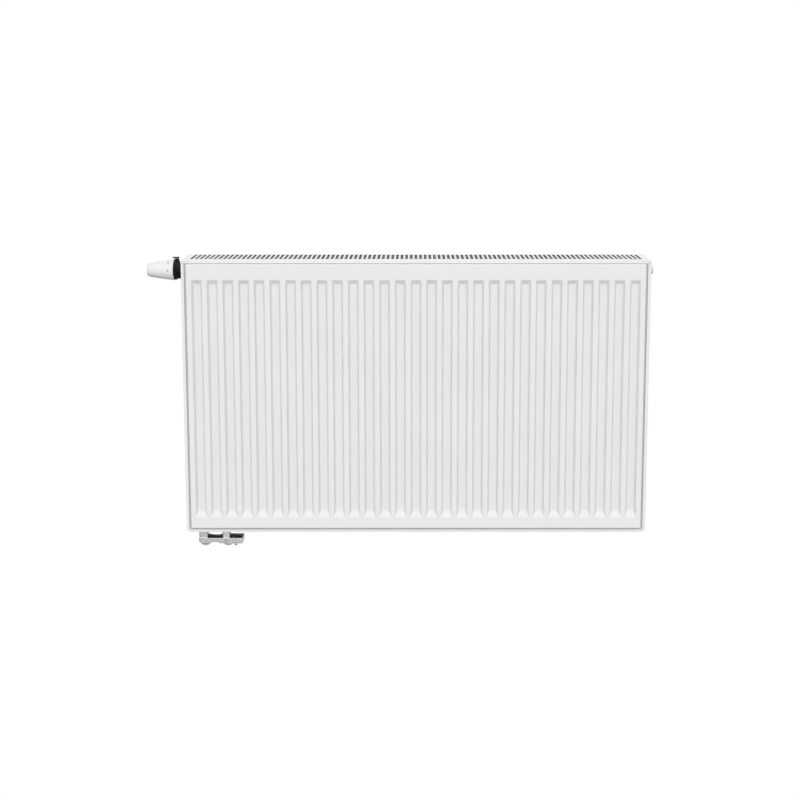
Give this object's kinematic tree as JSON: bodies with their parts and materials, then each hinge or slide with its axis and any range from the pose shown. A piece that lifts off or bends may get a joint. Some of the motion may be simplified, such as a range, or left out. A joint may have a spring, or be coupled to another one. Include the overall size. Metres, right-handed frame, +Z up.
{
  "type": "panel radiator",
  "caption": "White steel convector radiator with fluted front, slotted top grille, side covers, thermostatic head, air vent, bottom H valve block and wall rails.",
  "frame": {"origin": "centre of the wall bracket bolt pattern, on the wall plane", "axes": "+X to the right along the radiator's length, +Y out of its back into the wall, +Z up"},
  "size_m": [1.0933, 0.132, 0.6532],
  "materials": {
    "white_steel": "white powder coat, satin",
    "fin_steel": "white primer coat, satin",
    "tee_steel": "white powder coat, satin",
    "white_plastic": "white moulded plastic, satin",
    "grey_plastic": "grey moulded plastic, matt",
    "black_plastic": "black moulded plastic, satin",
    "clear_plastic": "natural moulded plastic, satin",
    "nickel": "nickel plate, satin",
    "brass": "turned brass",
    "spring_steel": "spring steel",
    "steel": "zinc-plated steel",
    "rubber": "black EPDM"
  },
  "bodies": {
    "radiator": {"front_panel_outer": "white_steel", "front_panel_inner": "fin_steel", "rear_panel_outer": "white_steel", "rear_panel_inner": "fin_steel", "front_fins": "fin_steel", "rear_fins": "fin_steel", "side_cover_left": "white_steel", "side_cover_right": "white_steel", "valve_housing": "tee_steel", "tee_top_right": "tee_steel", "tee_bottom_left": "tee_steel", "tee_bottom_right": "tee_steel", "riser_pipe": "tee_steel", "supply_nipple": "brass", "return_nipple": "brass", "blind_plug_left": "nickel", "blind_plug_right": "nickel", "plug_seals": "rubber", "vent_plug": "nickel", "vent_seal": "rubber", "valve_insert": "brass", "insert_seal": "rubber", "valve_seat": "brass", "spring_guide": "brass", "valve_spring": "spring_steel", "head_collar": "black_plastic", "head_base": "black_plastic", "sensor_spring": "spring_steel", "hblock_body": "nickel", "union_nut_return": "nickel", "union_nut_supply": "nickel", "union_seals": "rubber", "block_cover": "black_plastic", "wall_rail_left": "white_steel", "wall_rail_right": "white_steel", "rail_support_left": "black_plastic", "rail_support_right": "black_plastic", "latch_spring_left": "spring_steel", "latch_spring_right": "spring_steel"},
    "grille": {"top_grille": "white_steel"},
    "grip": {"handgrip": "white_plastic", "limit_pins": "grey_plastic"},
    "sensor": {"sensor_capsule": "steel", "push_pin": "clear_plastic"},
    "stem": {"valve_pin": "steel", "valve_cone": "rubber"},
    "preset": {"preset_ring": "clear_plastic"},
    "clip": {"lock_clip": "black_plastic"},
    "spout": {"vent_spout": "white_plastic"},
    "bleed": {"bleed_screw": "brass"},
    "spindle_return": {"shutoff_spindle_return": "nickel"},
    "spindle_supply": {"shutoff_spindle_supply": "nickel"},
    "drain": {"drain_screw": "nickel"},
    "latch_left": {"wall_latch_left": "white_steel"},
    "latch_right": {"wall_latch_right": "white_steel"}
  },
  "joints": [
    {"name": "grille_lift_off", "type": "slide", "parent": "radiator", "child": "grille", "axis": [0, 0, 1], "range_m": [0, 0.06]},
    {"name": "grip_turn", "type": "hinge", "parent": "radiator", "child": "grip", "pos_m": [-0.55, -0.081, 0.2721], "axis": [1, 0, 0], "range_deg": [0, 290]},
    {"name": "sensor_travel", "type": "slide", "parent": "radiator", "child": "sensor", "axis": [1, 0, 0], "range_m": [0, 0.0022]},
    {"name": "stem_travel", "type": "slide", "parent": "radiator", "child": "stem", "axis": [1, 0, 0], "range_m": [0, 0.0022], "deforming": ["valve_spring"]},
    {"name": "preset_turn", "type": "hinge", "parent": "radiator", "child": "preset", "pos_m": [-0.515, -0.081, 0.2721], "axis": [1, 0, 0], "range_deg": [0, 330]},
    {"name": "clip_slide", "type": "slide", "parent": "radiator", "child": "clip", "axis": [1, 0, 0], "range_m": [0, 0.0025]},
    {"name": "spout_turn", "type": "hinge", "parent": "radiator", "child": "spout", "pos_m": [0.509, -0.081, 0.2721], "axis": [1, 0, 0], "range_deg": [-170, 170]},
    {"name": "bleed_turn", "type": "hinge", "parent": "radiator", "child": "bleed", "pos_m": [0.505, -0.081, 0.2721], "axis": [1, 0, 0], "range_deg": [0, 360]},
    {"name": "spindle_return_turn", "type": "hinge", "parent": "radiator", "child": "spindle_return", "pos_m": [-0.47, -0.093, -0.3323], "axis": [0, 1, 0], "range_deg": [0, 90]},
    {"name": "spindle_supply_turn", "type": "hinge", "parent": "radiator", "child": "spindle_supply", "pos_m": [-0.42, -0.093, -0.3323], "axis": [0, 1, 0], "range_deg": [0, 90]},
    {"name": "drain_turn", "type": "hinge", "parent": "radiator", "child": "drain", "pos_m": [-0.4005, -0.084, -0.341], "axis": [0, 0, 1], "range_deg": [0, 360]},
    {"name": "latch_lift_left", "type": "slide", "parent": "radiator", "child": "latch_left", "axis": [0, 0, 1], "range_m": [0, 0.008], "stiffness_N_per_m": 1500, "springref_m": -0.006, "deforming": ["latch_spring_left"]},
    {"name": "latch_lift_right", "type": "slide", "parent": "radiator", "child": "latch_right", "axis": [0, 0, 1], "range_m": [0, 0.008], "stiffness_N_per_m": 1500, "springref_m": -0.006, "deforming": ["latch_spring_right"]}
  ],
  "couplings": [
    {"joint": "sensor_travel", "follows": "grip_turn", "m_per_rad": 0.00043422},
    {"joint": "stem_travel", "follows": "grip_turn", "m_per_rad": 0.00043422}
  ]
}
